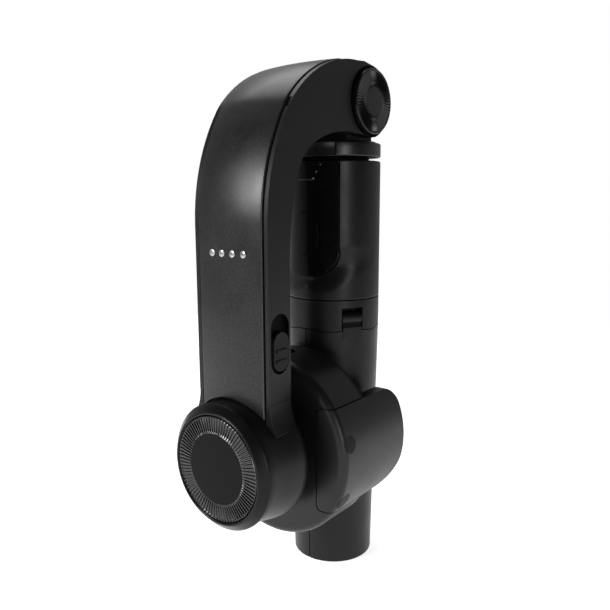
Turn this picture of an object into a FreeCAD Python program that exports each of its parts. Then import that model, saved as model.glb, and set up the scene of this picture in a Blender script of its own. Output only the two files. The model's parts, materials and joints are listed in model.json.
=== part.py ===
"""Folding phone gimbal on a telescopic handle that opens into a tripod, drawn in its folded state.

Millimetres.  The origin is the middle of the closed legs' foot ring, +Z runs up the handle, the
folded arm and its motor hang on the -Y side, and +X is the side that carries the lock slider.
"""
import FreeCAD, Part
import math
import os
import re
import Sketcher

V = FreeCAD.Vector
doc = FreeCAD.newDocument("camera_gimbal")
dims = doc.addObject("Spreadsheet::Sheet", "dims")

CELLS = {
    # handle, collar and tripod legs
    "handle_rad": 17, "shell_low": 101.2, "shell_top": 149.8, "shell_wall": 2.2,
    "collar_low": 90.6, "collar_top": 100.9, "spigot_rad": 14.7, "spigot_top": 104,
    "leg_foot_rad": 15, "leg_bore": 10, "leg_gap": 0.35,
    "leg_pivot_rad": 14.5, "leg_pivot_z": 94.4, "leg_scoop": 4.9, "skirt_rad": 4.6,
    "ear_rad": 2.3, "ear_width": 7.4, "ear_foot_rad": 16.9, "ear_head_rad": 14.5,
    "ear_rise": 2.3, "ear_drop": 3.2, "notch_width": 8.2, "notch_top": 98.3, "notch_deep": 11.1,
    "leg_pin_rad": 1.2, "leg_pin_long": 13, "foot_pad_high": 1.6,
    # telescopic pole: a fixed tube and the sections that slide in it
    "tube_rad": 7, "rod_wall": 0.5, "rod_step": 0.8, "rod_low": 30.5, "rod_high": 150.2, "cap_rad": 7.4,
    "cap_low": 22.5, "cap_high": 28.5, "tube_low": 26.5,
    # shutter remote in the front of the handle
    "remote_half": 11.35, "remote_low": 109.5, "remote_top": 149.3, "remote_corner": 9.5,
    "remote_back_y": -10.2, "remote_skin": 1.2, "remote_gap": 0.3,
    "button_wide": 10, "button_tall": 15.5, "button_z": 124.6, "button_gap": 0.35,
    "scoop_wide": 4.6, "scoop_deep": 1.2, "scoop_top": 116, "tray_half": 13.2, "tray_wall": 1.8,
    "remote_board_half": 9, "remote_board_y": -12.4, "remote_board_thick": 0.7,
    "remote_board_low": 115.6, "remote_board_top": 148,
    "coin_rad": 6, "coin_z": 140, "coin_front": -14.6, "coin_back": -12.5,
    # head on top of the pole
    "puck_low": 151.1, "puck_mid": 156, "puck_top": 156.6, "puck_step": 15.3,
    "puck_boss": 12.8, "puck_room": 5, "puck_bevel": 0.5,
    "pivot_z": 169.7, "block_half": 11, "block_rad": 10, "fork_half": 11.5, "hinge_pin_rad": 3,
    "knob_rad": 11, "knob_face": 17.4, "knob_round": 0.6, "washer_rad": 7,
    # arm
    "arm_half": 15.5, "arm_front": -54.9, "arm_back": -44.3, "arm_low": 74.4, "arm_top": 182.6,
    "cover_half": 13.4, "cover_thick": 1.8, "cover_end_y": -14, "arm_end_rad": 12.2,
    "arm_lip": 0.5, "arm_step": 0.35, "cover_gap": 0.4,
    "bend_low": 129, "bend_rad": 65.4, "crown_rad": 20, "top_rad": 45.7,
    "inner_low": 117.2, "inner_rad": 90.7, "inner_crown": 17.5, "inner_top_rad": 43.95,
    "bay_half": 11.2, "bay_front": -51.6, "bay_back": -46.4, "bay_top": 136,
    "battery_half": 9.5, "battery_front": -51, "battery_back": -46.9, "battery_low": 79,
    "battery_top": 112, "battery_round": 1.4,
    "board_half": 9.5, "board_front": -49.4, "board_back": -48.2, "board_low": 115, "board_top": 134,
    "screw_x": 13, "screw_low": 90, "screw_high": 128, "screw_rad": 0.8, "screw_head": 1.5,
    # motor
    "motor_z": 52.66, "housing_rad": 22.3, "housing_front": -59.7, "housing_back": -43,
    "housing_small": 20.5, "housing_round": 2.5, "cover_foot": 21.3, "cover_low": 68,
    "cap_front": -63.4, "cap_edge": -60.8, "cap_small": 18.1,
    "cap_large": 20.9, "cap_spigot": 18.5, "stator_rad": 18.4, "shaft_rad": 3, "hub_rad": 14.6,
    # phone clamp
    "clamp_rad": 31.7, "clamp_front": -37.4, "clamp_back": -18.5, "clamp_round": 2.6,
    "jaw_chord": 20.4, "jaw_half": 17.5, "jaw_tail": -0.3, "jaw_wall": 3.1, "jaw_gap": 0.35,
    "jaw_pad": 1.6, "jaw_round_top": 6, "jaw_round_low": 10,
    "guide_rad": 1.5, "guide_y": -33.4, "guide_near": 6.4, "guide_far": 13.8,
    "guide_inner": 19.6, "guide_outer": 31.4, "clamp_pad_half": 17, "clamp_pad_tall": 38,
    "plug_deep": 1, "plug_rad": 2.9, "jaw_corner": 2,
    "socket_rad": 3.2, "socket_y": -28, "socket_deep": 8,
    # lock slider on the side of the arm
    "slot_wide": 8.5, "slot_low": 83.3, "slot_tall": 19, "slot_y": -49.3, "slot_deep": 1.3,
    "slider_wide": 7, "slider_low": 84.3, "slider_tall": 12.3,
    # working clearance
    "fit": 0.04,
}
for row, (word, number) in enumerate(CELLS.items(), start=1):
    dims.set("A%d" % row, word)
    dims.set("B%d" % row, str(number))
    dims.setAlias("B%d" % row, word)
doc.recompute()

TURN_TO = {
    "x": FreeCAD.Rotation(V(0, 1, 0), 90),
    "y": FreeCAD.Rotation(V(1, 0, 0), -90),
    "z": FreeCAD.Rotation(),
}
HELPERS = [0]


def expression(text):
    """The text with every alias in it turned into a reference to its cell."""
    return re.sub(r"[a-z][a-z_]+", lambda m: "dims." + m[0] if m[0] in CELLS else m[0], str(text))


def number(text):
    """The value of an expression over the cells, for geometry that cannot be bound."""
    return float(dims.evalExpression(str(text)))


def bind(thing, prop, text):
    thing.setExpression(prop, expression(text))
    return thing


def place(thing, at, along="z"):
    thing.Placement = FreeCAD.Placement(V(), TURN_TO[along])
    for axis, text in zip("xyz", at):
        bind(thing, "Placement.Base." + axis, text)
    return thing


def helper(kind, **sizes):
    """A construction solid: a primitive whose sizes are bound to the sheet."""
    HELPERS[0] += 1
    thing = doc.addObject(kind, "shape%03d" % HELPERS[0])
    for prop, text in sizes.items():
        bind(thing, prop, text)
    return thing


def box(low, high):
    """A box between two corners."""
    sizes = ["(%s) - (%s)" % (b, a) for a, b in zip(low, high)]
    return place(helper("Part::Box", Length=sizes[0], Width=sizes[1], Height=sizes[2]), low)


def rod(radius, low, high, at=("0", "0"), along="z"):
    """A cylinder along X, Y or Z, from low to high, at the other two coordinates."""
    base = {"x": [low, *at], "y": [at[0], low, at[1]], "z": [*at, low]}[along]
    return place(helper("Part::Cylinder", Radius=radius, Height="(%s) - (%s)" % (high, low)), base, along)


def cone(radius_low, radius_high, low, high, at=("0", "0"), along="z"):
    """A cone along X, Y or Z, with one radius at low and another at high."""
    base = {"x": [low, *at], "y": [at[0], low, at[1]], "z": [*at, low]}[along]
    sizes = dict(Radius1=radius_low, Radius2=radius_high, Height="(%s) - (%s)" % (high, low))
    return place(helper("Part::Cone", **sizes), base, along)


def fuse(*shapes):
    HELPERS[0] += 1
    joined = doc.addObject("Part::MultiFuse", "shape%03d" % HELPERS[0])
    joined.Shapes = list(shapes)
    joined.Refine = True
    return joined


def cut(base, *tools):
    HELPERS[0] += 1
    rest = doc.addObject("Part::Cut", "shape%03d" % HELPERS[0])
    rest.Base = base
    rest.Tool = tools[0] if len(tools) == 1 else fuse(*tools)
    return rest


def common(*shapes):
    HELPERS[0] += 1
    shared = doc.addObject("Part::MultiCommon", "shape%03d" % HELPERS[0])
    shared.Shapes = list(shapes)
    return shared


def turned(shape, angle, centre=V(), axis=V(0, 0, 1)):
    """A copy of a shape turned about an axis, which stays linked to it."""
    HELPERS[0] += 1
    copy = doc.addObject("Part::Compound", "shape%03d" % HELPERS[0])
    copy.Links = [shape]
    copy.Placement = FreeCAD.Placement(V(), FreeCAD.Rotation(axis, angle), centre)
    return copy


def mirrored(shape):
    """The same piece on the other side of the YZ plane."""
    HELPERS[0] += 1
    copy = doc.addObject("Part::Mirroring", "shape%03d" % HELPERS[0])
    copy.Source = shape
    copy.Base = V()
    copy.Normal = V(1, 0, 0)
    return copy


def rounded(base, radius, chosen, kind="Part::Fillet"):
    """The base with the edges that chosen() picks rounded or bevelled."""
    doc.recompute()
    HELPERS[0] += 1
    soft = doc.addObject(kind, "shape%03d" % HELPERS[0])
    size = number(radius)
    picked = [n for n, edge in enumerate(base.Shape.Edges, start=1) if chosen(edge)]
    soft.Base = base
    soft.Edges = [(n, size, size) for n in picked]
    return soft


def circle_at(radius, axis, value):
    """A test for a round edge of this radius whose centre has this coordinate."""
    wanted, level = number(radius), number(value)

    def test(edge):
        curve = edge.Curve
        if not isinstance(curve, Part.Circle):
            return False
        return abs(curve.Radius - wanted) < 0.01 and abs(getattr(curve.Center, axis) - level) < 0.01
    return test


def along_y(edge):
    """A test for a straight edge parallel to Y."""
    return edge.BoundBox.YLength > 0.5 and edge.BoundBox.XLength < 0.1 and edge.BoundBox.ZLength < 0.1


def along_x(edge):
    """A test for a straight edge parallel to X."""
    return edge.BoundBox.YLength < 0.1 and edge.BoundBox.ZLength < 0.1


def outline_body(name, plane, start, length, corners):
    """A body padded from a closed outline.

    Each corner is (across, up, bend): its place as expressions, and the radius of the arc that
    leads to the next corner, positive where the arc bulges to the left of the way, or None.
    """
    body = doc.addObject("PartDesign::Body", name)
    sketch = body.newObject("Sketcher::SketchObject", name + "_outline")
    origin_plane = [f for f in body.Origin.OriginFeatures if f.Role == plane][0]
    sketch.AttachmentSupport = [(origin_plane, "")]
    sketch.MapMode = "FlatFace"
    bind(sketch, "AttachmentOffset.Base.z", start)
    spots = [V(number(a), number(b), 0) for a, b, bend in corners]
    for n, (a, b, bend) in enumerate(corners):
        here, there = spots[n], spots[(n + 1) % len(spots)]
        if bend is None:
            sketch.addGeometry(Part.LineSegment(here, there), False)
            continue
        half = (there - here) * 0.5
        left = V(-half.y, half.x, 0).normalize()
        size = abs(number(bend))
        side = 1 if number(bend) > 0 else -1
        rise = size - math.sqrt(size * size - half.Length ** 2)
        arc = Part.Arc(here, here + half + left * rise * side, there)
        sketch.addGeometry(arc, False)
    count = len(corners)
    ends = []
    for n, (a, b, bend) in enumerate(corners):
        reverse = bend is not None and number(bend) > 0
        ends.append((2, 1) if reverse else (1, 2))
    for n, (a, b, bend) in enumerate(corners):
        after = (n + 1) % count
        sketch.addConstraint(Sketcher.Constraint("Coincident", n, ends[n][1], after, ends[after][0]))
    for n, (a, b, bend) in enumerate(corners):
        for kind, text, value in (("DistanceX", a, spots[n].x), ("DistanceY", b, spots[n].y)):
            index = sketch.addConstraint(Sketcher.Constraint(kind, n, ends[n][0], value))
            bind(sketch, "Constraints[%d]" % index, text)
        if bend is not None:
            index = sketch.addConstraint(Sketcher.Constraint("Radius", n, abs(number(bend))))
            bind(sketch, "Constraints[%d]" % index, "abs(%s)" % bend)
    pad = body.newObject("PartDesign::Pad", name + "_pad")
    pad.Profile = sketch
    bind(pad, "Length", length)
    sketch.Visibility = False
    body.Tip = pad
    return body


PIECES = {}


def piece(name, shape):
    """Name a finished sub-part."""
    shape.Label = name
    PIECES[name] = shape
    return shape


# Handle: a tube shell with a tray in its front that holds the remote.
def remote_block(grow, low_y, skin="0"):
    """The remote's outline, rounded at the foot, cut to the handle's round face."""
    half, low = "(remote_half + %s)" % grow, "(remote_low - %s)" % grow
    bend = "(remote_corner + %s)" % grow
    corners = [
        ("-" + half, "remote_top + 3", None),
        ("-" + half, low + " + " + bend, "-" + bend),
        ("-%s + %s" % (half, bend), low, None),
        ("%s - %s" % (half, bend), low, "-" + bend),
        (half, low + " + " + bend, None),
        (half, "remote_top + 3", None),
    ]
    HELPERS[0] += 1
    outline = outline_body("remote_form%03d" % HELPERS[0], "XZ_Plane", "-(%s)" % low_y, "20", corners)
    return common(outline, rod("handle_rad - %s" % skin, "shell_low", "remote_top"))


def make_handle():
    shell = cut(rod("handle_rad", "shell_low", "shell_top"),
                rod("handle_rad - shell_wall", "shell_low - 1", "shell_top - 2"))
    tray = common(rod("handle_rad - 1", "shell_low", "shell_top - 1"),
                  box(("-tray_half", "-17", "shell_low + 3"),
                      ("tray_half", "remote_back_y + tray_wall", "shell_top - 1")))
    pocket = common(remote_block("remote_gap", "remote_back_y"),
                    box(("-15", "-20", "shell_low"), ("15", "remote_back_y", "shell_top + 1")))
    scoop = cut(remote_block("scoop_wide", "-5"),
                rod("handle_rad - scoop_deep", "shell_low - 1", "shell_top"),
                box(("-20", "-20", "scoop_top"), ("20", "0", "shell_top + 1")))
    top_slot = box(("-remote_half - remote_gap", "-20", "remote_top - 8"),
                   ("remote_half + remote_gap", "remote_back_y", "remote_top + remote_gap"))
    bore = rod("tube_rad - 0.35", "shell_top - 3", "shell_top + 1")
    tube_way = rod("tube_rad + 0.02", "shell_low - 1", "shell_top - 2")
    piece("handle_shell", cut(fuse(shell, tray), pocket, scoop, top_slot, bore, tube_way))

    front = cut(remote_block("0", "remote_back_y - 1.4"), remote_block("-remote_skin", "-5", "remote_skin"))
    hole_half, hole_tall = "(button_wide/2 + button_gap)", "(button_tall/2 + button_gap)"
    button_hole = rounded(box(("-" + hole_half, "-20", "button_z - " + hole_tall),
                              (hole_half, "-12", "button_z + " + hole_tall)),
                          hole_half + " - 0.05", along_y)
    open_back = box(("-remote_half", "remote_back_y - 1.4", "remote_low"),
                    ("remote_half", "0", "remote_top + 1"))
    piece("remote_front", cut(front, button_hole, open_back))
    layer = box(("-20", "remote_back_y - 1.4", "remote_low - 1"), ("20", "remote_back_y", "remote_top"))
    back = common(remote_block("0", "remote_back_y"), layer)
    piece("remote_back", back)
    board_back = "remote_board_y + remote_board_thick"
    piece("remote_board", box(("-remote_board_half", "remote_board_y", "remote_board_low"),
                              ("remote_board_half", board_back, "remote_board_top")))
    piece("coin_cell", rod("coin_rad", "coin_front", "coin_back", ("0", "coin_z"), "y"))
    pill = rounded(box(("-button_wide/2", "-20", "button_z - button_tall/2"),
                       ("button_wide/2", "-13.4", "button_z + button_tall/2")),
                   "button_wide/2 - 0.05", along_y)
    piece("remote_button", common(pill, rod("handle_rad + 0.35", "100", "150")))


# Tripod: the collar carries three leg hinges, and the legs close round the pole.
def hinge_line(radius, long, angle):
    """A cylinder on the hinge axis of the leg that opens towards this angle."""
    line = rod(radius, "-(%s)/2" % long, "(%s)/2" % long, ("leg_pivot_rad", "leg_pivot_z"), "y")
    return turned(line, angle)


def make_tripod():
    leg_angles = {"right": -30, "rear": 90, "left": 210}
    ring = rod("handle_rad", "collar_low", "collar_top")
    spigot = rod("spigot_rad", "collar_top - 1", "spigot_top")
    skirts = [hinge_line("skirt_rad", "25", a) for a in leg_angles.values()]
    skirt = common(fuse(*skirts), rod("handle_rad", "leg_pivot_z - 7", "leg_pivot_z + 2"))
    notch = box(("notch_deep", "-notch_width/2", "leg_pivot_z - 8"), ("20", "notch_width/2", "notch_top"))
    notches = [turned(notch, a) for a in leg_angles.values()]
    pin_holes = [hinge_line("leg_pin_rad", "leg_pin_long", a) for a in leg_angles.values()]
    way = rod("tube_rad", "80", "110")
    piece("tripod_collar", cut(fuse(ring, spigot, skirt), *notches, *pin_holes, way))
    piece("leg_pins", common(fuse(*[hinge_line("leg_pin_rad", "leg_pin_long", a)
                                    for a in leg_angles.values()]),
                             rod("handle_rad - 0.6", "leg_pivot_z - 3", "leg_pivot_z + 3")))
    for name, angle in leg_angles.items():
        taper = cone("leg_foot_rad", "handle_rad", "0", "collar_low - leg_gap")
        hollow = rod("leg_bore", "-1", "collar_low - 4")
        inner = rod("tube_rad + 0.6", "-1", "collar_low + 1")
        sides = []
        for side in (-1, 1):
            wall = box(("-30", "-leg_gap/2", "-2"), ("40", "40", "100"))
            sides.append(turned(wall, angle + 60 if side > 0 else angle + 120))
        scoop = hinge_line("leg_scoop", "40", angle)
        ramp = outline_body("ear_%s" % name, "XZ_Plane", "-ear_width/2", "ear_width", [
            ("ear_foot_rad", "leg_pivot_z - 7", None), ("leg_pivot_rad - ear_rad", "leg_pivot_z - 7", None),
            ("leg_pivot_rad - ear_rad", "leg_pivot_z", None),
            ("ear_head_rad", "leg_pivot_z + ear_rise", None),
            ("ear_foot_rad", "leg_pivot_z - ear_drop", None)])
        ear_body = fuse(hinge_line("ear_rad", "ear_width", angle), turned(ramp, angle))
        hole = hinge_line("leg_pin_rad + fit", "20", angle)
        pad_room = turned(box(("8", "-5", "-1"), ("13.4", "5", "foot_pad_high")), angle)
        shell = cut(taper, hollow, inner, *sides, scoop)
        piece("leg_" + name, cut(fuse(shell, ear_body), hole, pad_room))
        pad = turned(box(("10.6", "-5", "0"), ("13.4", "5", "foot_pad_high")), angle)
        piece("foot_pad_" + name, pad)


# Pole: the fixed tube with its end cap, and the sections that slide out of it.  The cap sits above
# the feet of the open legs, so that the tripod stands on its legs and not on the pole.
def make_pole():
    piece("pole_tube", cut(rod("tube_rad", "tube_low", "shell_top - 2.1"),
                           rod("tube_rad - rod_wall", "tube_low - 1", "160")))
    seat = cut(rod("tube_rad", "tube_low", "cap_high + 1"),
               rod("tube_rad - rod_wall", "tube_low - 1", "cap_high + 2"))
    piece("pole_end_cap", cut(rod("cap_rad", "cap_low", "cap_high"), seat))
    for n in range(1, 6):
        outer = "tube_rad - %d * rod_step" % n
        section = rod(outer, "rod_low + %d" % (n - 1), "rod_high + 0.1*%d - 0.5" % n)
        if n < 5:
            section = cut(section, rod(outer + " - rod_wall", "0", "160"))
        else:
            section = fuse(section, rod("tube_rad - 3 * rod_step", "rod_high", "puck_low"))
        piece("pole_section_%d" % n, section)


# Head: swivel puck, hinge block and the hinge pin with its two caps.
def make_head():
    disc = fuse(rod("handle_rad", "puck_low", "puck_mid"), rod("puck_step", "puck_mid - 1", "puck_top"))
    bevel = rounded(disc, "puck_bevel", circle_at("handle_rad", "z", "puck_mid"), "Part::Chamfer")
    boss = cut(rod("puck_boss", "shell_top + 0.2", "puck_low + 1"), rod("puck_room", "shell_top", "puck_low"))
    piece("swivel_puck", fuse(bevel, boss))
    neck = box(("-block_half", "-8", "puck_top"), ("block_half", "8", "pivot_z"))
    drum = rod("block_rad", "-block_half", "block_half", ("0", "pivot_z"), "x")
    pin_hole = rod("hinge_pin_rad", "-20", "20", ("0", "pivot_z"), "x")
    piece("hinge_block", cut(fuse(neck, drum), pin_hole))
    piece("hinge_pin", rod("hinge_pin_rad", "-arm_half + 0.2", "arm_half - 0.2", ("0", "pivot_z"), "x"))
    cap = rod("knob_rad", "arm_half", "knob_face", ("0", "pivot_z"), "x")
    soft = rounded(cap, "knob_round", circle_at("knob_rad", "x", "knob_face"))
    piece("hinge_cap_right", soft)
    piece("hinge_cap_left", mirrored(soft))
    washer = cut(rod("washer_rad", "block_half + 0.02", "fork_half - 0.02", ("0", "pivot_z"), "x"),
                 rod("hinge_pin_rad + fit", "0", "20", ("0", "pivot_z"), "x"))
    piece("friction_washers", fuse(washer, mirrored(washer)))


# Arm: two shells that meet on the middle plane, closed at the front by one long cover.
def arm_profile(inset, low="arm_low"):
    """The front edge of the arm's side view, from the motor up and over the crown.

    Each corner is moved inwards by the inset along the normal of the edge there.
    """
    return [
        ("arm_front + %s" % inset, low, None),
        ("arm_front + %s" % inset, "bend_low", "bend_rad"),
        ("-43.93 + %s * 0.83" % inset, "165.21 - %s * 0.55" % inset, "crown_rad"),
        ("-42.13 + %s * 0.74" % inset, "167.53 - %s * 0.67" % inset, "top_rad"),
        ("-8.14", "arm_top - %s" % inset, None),
        ("-3.92", "arm_top - %s" % inset, None),
    ]


def make_arm():
    tail = [
        ("2.1", "181.7", "arm_end_rad"),
        ("3.16", "157.92", None),
        ("-12.1", "158.96", "-inner_top_rad"),
        ("-31.1", "154.63", "-inner_crown"),
        ("-40.25", "144.04", "-inner_rad"),
        ("arm_back", "inner_low", None),
        ("arm_back", "arm_low", None),
    ]
    middle = outline_body("arm_middle", "YZ_Plane", "-cover_half - arm_lip", "2 * (cover_half + arm_lip)",
                          arm_profile("0") + tail)
    sides = outline_body("arm_sides", "YZ_Plane", "-arm_half", "2 * arm_half", arm_profile("arm_step") + tail)
    whole = fuse(middle, sides)
    inner_side = list(reversed(arm_profile("cover_thick", "cover_low")[:5]))
    bends = ["-top_rad", "-crown_rad", "-bend_rad", None, None]
    back_way = [(a, b, bend) for (a, b, old), bend in zip(inner_side, bends)]
    strip = outline_body("cover_form", "YZ_Plane", "-cover_half", "2 * cover_half",
                         arm_profile("0", "cover_low")[:5] + back_way)
    room = outline_body("cover_room", "YZ_Plane", "-cover_half - cover_gap", "2 * (cover_half + cover_gap)",
                        arm_profile("-1", "cover_low")[:5] + back_way)
    short = box(("-20", "-70", "0"), ("20", "cover_end_y", "200"))
    foot = rod("cover_foot", "-70", "-40", ("0", "motor_z"), "y")
    face = cut(common(strip, short), foot)
    piece("arm_front_cover", face)

    fork = box(("-fork_half", "-9.3", "pivot_z - 14"), ("fork_half", "14", "pivot_z + 14"))
    swing = rod("13", "-fork_half", "fork_half", ("0", "pivot_z"), "x")
    pin_way = rod("hinge_pin_rad + fit", "-20", "20", ("0", "pivot_z"), "x")
    bay = box(("-bay_half", "bay_front", "arm_low - 1"), ("bay_half", "bay_back", "bay_top"))
    upper_bay = box(("-bay_half", "-38", "162"), ("bay_half", "-15.5", "173"))
    cover_cut = common(room, box(("-20", "-70", "0"), ("20", "cover_end_y + 0.05", "200")))
    slot = fuse(box(("arm_half - slot_deep", "slot_y - slot_wide/2", "slot_low + slot_wide/2"),
                    ("20", "slot_y + slot_wide/2", "slot_low + slot_tall - slot_wide/2")),
                rod("slot_wide/2", "arm_half - slot_deep", "20", ("slot_y", "slot_low + slot_wide/2"), "x"),
                rod("slot_wide/2", "arm_half - slot_deep", "20",
                    ("slot_y", "slot_low + slot_tall - slot_wide/2"), "x"))
    screws = []
    for x in ("-screw_x", "screw_x"):
        for z in ("screw_low", "screw_high"):
            head = rod("screw_head", "arm_back - 1.3", "arm_back", (x, z), "y")
            screws.append(fuse(head, rod("screw_rad", "arm_back - 6", "arm_back", (x, z), "y")))
    piece("arm_screws", fuse(*screws))
    body = cut(whole, cover_cut, fork, swing, pin_way, bay, upper_bay, slot, *screws)
    right = box(("0", "-80", "0"), ("30", "30", "200"))
    left = box(("-30", "-80", "0"), ("0", "30", "200"))
    piece("arm_shell_right", common(body, right))
    piece("arm_shell_left", common(body, left))

    cell = box(("-battery_half", "battery_front", "battery_low"),
               ("battery_half", "battery_back", "battery_top"))
    piece("battery", rounded(cell, "battery_round", lambda e: e.BoundBox.ZLength > 20))
    piece("control_board", box(("-board_half", "board_front", "board_low"),
                               ("board_half", "board_back", "board_top")))
    thumb = box(("arm_half - slot_deep + 0.3", "slot_y - slider_wide/2", "slider_low"),
                ("arm_half + 0.5", "slot_y + slider_wide/2", "slider_low + slider_tall"))
    soft = rounded(thumb, "slider_wide/2 - 0.05",
                   lambda e: along_x(e) and e.BoundBox.XLength > 1)
    ridges = [box(("arm_half + 0.4", "slot_y - 2.4", z), ("arm_half + 0.9", "slot_y + 2.4", z + " + 0.7"))
              for z in ("87.2", "90.5")]
    piece("lock_slider", fuse(soft, *ridges))


# Motor: housing under the arm, with the stator, the bearing and the front cap.
def make_motor():
    flare = "(((housing_rad^2 - arm_half^2) - (arm_low - motor_z)^2) / (2*(arm_half - housing_rad)))"
    reach = "(arm_half + %s)" % flare
    share = "(housing_rad / (housing_rad + %s))" % flare
    touch_x, touch_z = "(%s * %s)" % (reach, share), "(motor_z + (arm_low - motor_z) * %s)" % share
    outline = [
        ("-arm_half", "arm_low", "(%s)" % flare),
        ("-" + touch_x, touch_z, None),
        ("-" + touch_x, touch_z + " - 0.01", None),
        (touch_x, touch_z + " - 0.01", None),
        (touch_x, touch_z, "(%s)" % flare),
        ("arm_half", "arm_low", None),
    ]
    depth = "arm_back - (arm_front + arm_step)"
    block = outline_body("housing_neck", "XZ_Plane", "-arm_back", depth, outline)
    neck = cut(block, box(("-cover_half - cover_gap", "arm_front - 1", "cover_low - 3"),
                          ("cover_half + cover_gap", "arm_front + cover_thick + 0.05", "arm_low + 1")))
    can = cone("housing_small", "housing_rad", "housing_front", "housing_back", ("0", "motor_z"), "y")
    soft = rounded(can, "housing_round", circle_at("housing_rad", "y", "housing_back"))
    trunk = box(("-bay_half", "bay_front", "arm_low - 6"), ("bay_half", "bay_back", "arm_low + 1"))
    well = rod("stator_rad + 0.2", "housing_front - 1", "housing_back - 1.8", ("0", "motor_z"), "y")
    seat = rod("6", "-60", "-40", ("0", "motor_z"), "y")
    shape = common(fuse(soft, neck), box(("-40", "-60", "0"), ("40", "-40", "arm_low")))
    piece("motor_housing", cut(shape, trunk, well, seat))
    stator = cut(rod("stator_rad", "-53", "-46.4", ("0", "motor_z"), "y"),
                 rod("8", "-60", "-40", ("0", "motor_z"), "y"))
    piece("motor_stator", stator)
    piece("motor_bearing", cut(rod("6", "-47.4", "housing_back", ("0", "motor_z"), "y"),
                               rod("shaft_rad + fit", "-60", "-40", ("0", "motor_z"), "y")))
    piece("motor_shaft", rod("shaft_rad", "-55", "clamp_front + 3", ("0", "motor_z"), "y"))
    hub = cut(rod("hub_rad", "housing_back + 0.5", "clamp_front", ("0", "motor_z"), "y"),
              rod("shaft_rad", "-60", "-30", ("0", "motor_z"), "y"))
    piece("motor_rotor", hub)

    rim = cone("cap_small", "cap_large", "cap_front", "cap_edge", ("0", "motor_z"), "y")
    lip = rod("cap_large", "cap_edge", "cap_edge + 0.9", ("0", "motor_z"), "y")
    neck_ring = rod("cap_spigot", "cap_edge", "housing_front + 4", ("0", "motor_z"), "y")
    inside = rod("cap_spigot - 1.9", "cap_edge + 1", "-50", ("0", "motor_z"), "y")
    dish = rod("cap_small - 0.5", "cap_front - 1", "cap_edge", ("0", "motor_z"), "y")
    spindle_room = rod("6", "-70", "-40", ("0", "motor_z"), "y")
    piece("motor_cap_rim", cut(fuse(rim, lip, neck_ring), inside, dish, spindle_room))
    plate = rod("cap_small - 0.55", "cap_front + 0.1", "cap_edge - 0.02", ("0", "motor_z"), "y")
    piece("motor_cap_plate", plate)


# Clamp: a round body on the motor's hub, with two spring jaws that slide apart.
def jaw_room(grow, side):
    """The part of the clamp's side that belongs to a jaw, with its two inner corners rounded."""
    half, chord = "(jaw_half + %s)" % grow, "(jaw_chord - %s)" % grow
    low = (chord if side > 0 else "-40", "-50", "motor_z - " + half)
    high = ("40" if side > 0 else "-" + chord, "5", "motor_z + " + half)
    inner = number(chord) * side
    return rounded(box(low, high), "jaw_corner", lambda e: along_y(e) and abs(e.BoundBox.XMin - inner) < 0.1)


def tail_edge(height):
    """A test for the long edge at the tail of a jaw at this height."""
    tail, level = number("jaw_tail"), number(height)

    def test(edge):
        reach = edge.BoundBox
        return reach.XLength > 1 and abs(reach.YMin - tail) < 0.1 and abs(reach.ZMin - level) < 0.1
    return test


def jaw_form(side):
    """The block that bounds one jaw, from the front of the clamp to the tail of the jaw."""
    block = box(("jaw_chord" if side > 0 else "-40", "clamp_front - 1", "motor_z - jaw_half"),
                ("40" if side > 0 else "-jaw_chord", "jaw_tail", "motor_z + jaw_half"))
    for corner, radius in (("motor_z + jaw_half", "jaw_round_top"), ("motor_z - jaw_half", "jaw_round_low")):
        block = rounded(block, radius, tail_edge(corner))
    inner = number("jaw_chord") * side
    return rounded(block, "jaw_corner", lambda e: along_y(e) and abs(e.BoundBox.XMin - inner) < 0.1)


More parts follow.
